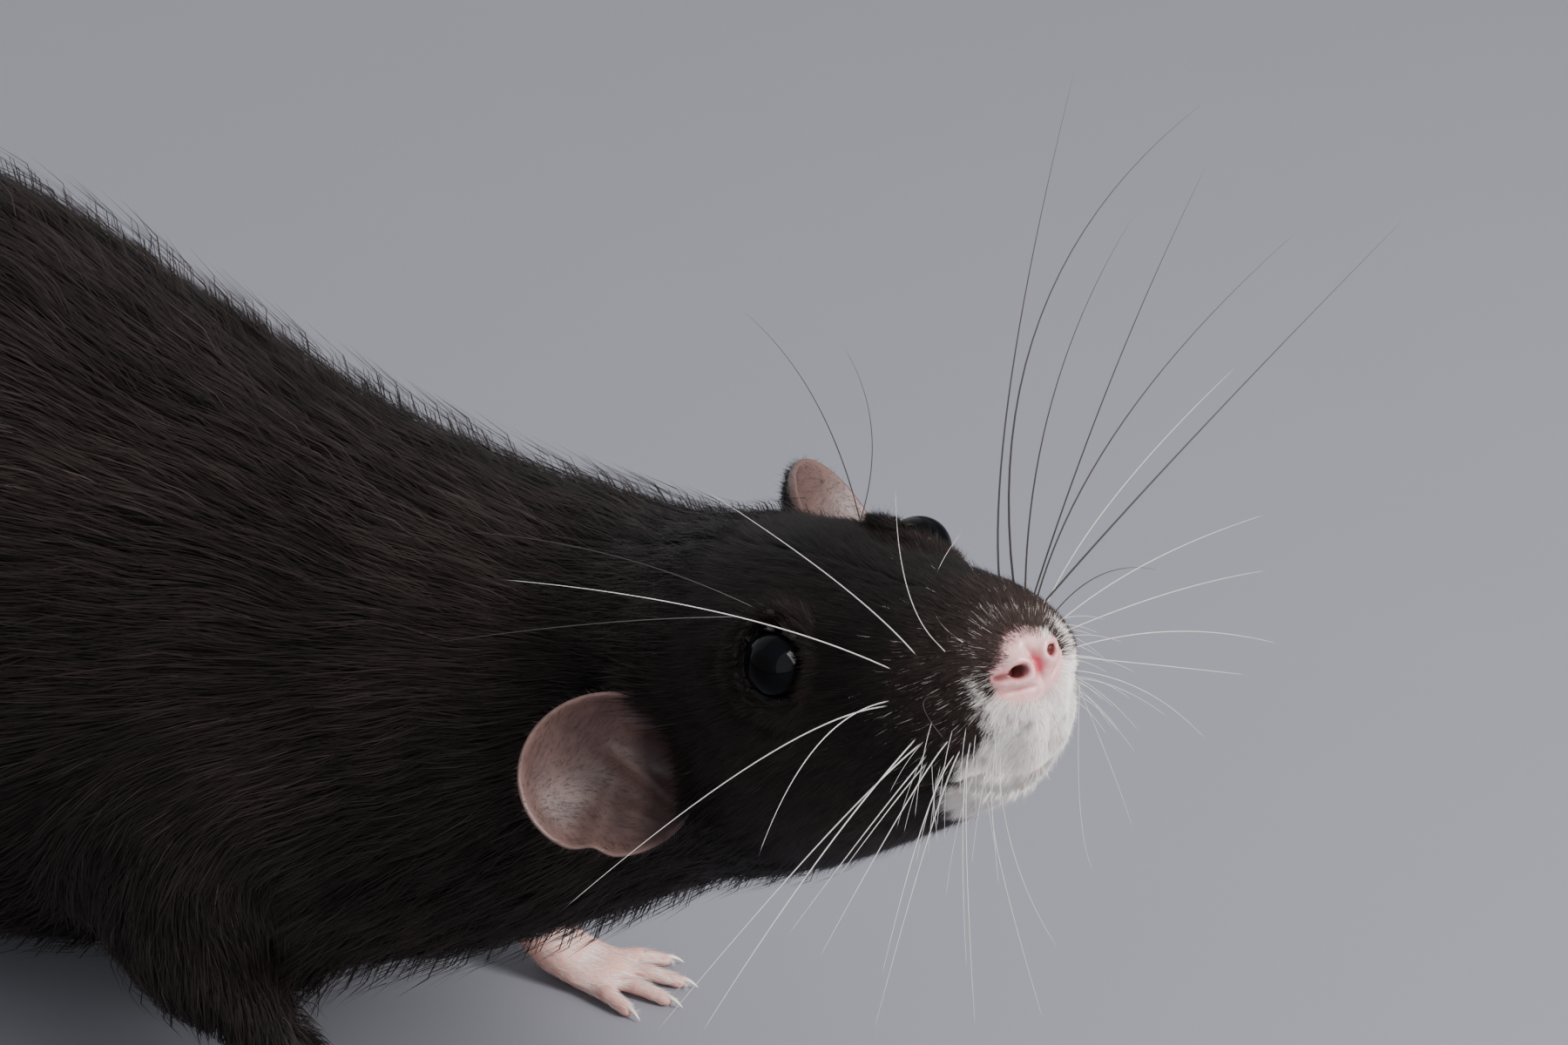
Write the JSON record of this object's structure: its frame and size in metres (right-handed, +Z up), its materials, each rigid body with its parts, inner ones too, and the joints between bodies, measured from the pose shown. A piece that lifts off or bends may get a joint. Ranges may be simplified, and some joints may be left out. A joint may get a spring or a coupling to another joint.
{
  "type": "rat",
  "caption": "Life-size fancy rat at rest on all fours, back arched, head lifted and turned, ears open, tail curled round its side.",
  "frame": {"origin": "on the floor, under the middle of the bounding box", "axes": "+X to the animal's left, +Y towards its tail, +Z up; the animal faces -Y"},
  "size_m": [0.1108, 0.257, 0.084],
  "materials": {
    "coat": "short soft brown-black fur with a faint sheen",
    "chin_coat": "short fine white fur",
    "nose_skin": "bare moist pink skin",
    "ear_skin": "thin bare mauve-pink skin with a slight shine",
    "foot_skin": "bare pink skin with sparse pale hairs",
    "tail_skin": "ringed scaly skin with short bristles",
    "eye": "wet glossy black"
  },
  "bodies": {
    "root": {"head": "coat", "lower_jaw": "chin_coat", "nose": "nose_skin", "neck": "coat", "chest": "coat", "loin": "coat", "eye_left": "eye", "eye_right": "eye", "ear_left": "ear_skin", "ear_right": "ear_skin", "foreleg_left": "coat", "foreleg_right": "coat", "forepaw_left": "foot_skin", "forepaw_right": "foot_skin", "haunch_left": "coat", "haunch_right": "coat", "hindfoot_left": "foot_skin", "hindfoot_right": "foot_skin", "tail_1": "tail_skin", "tail_2": "tail_skin", "tail_3": "tail_skin", "tail_4": "tail_skin", "tail_5": "tail_skin"}
  },
  "joints": []
}
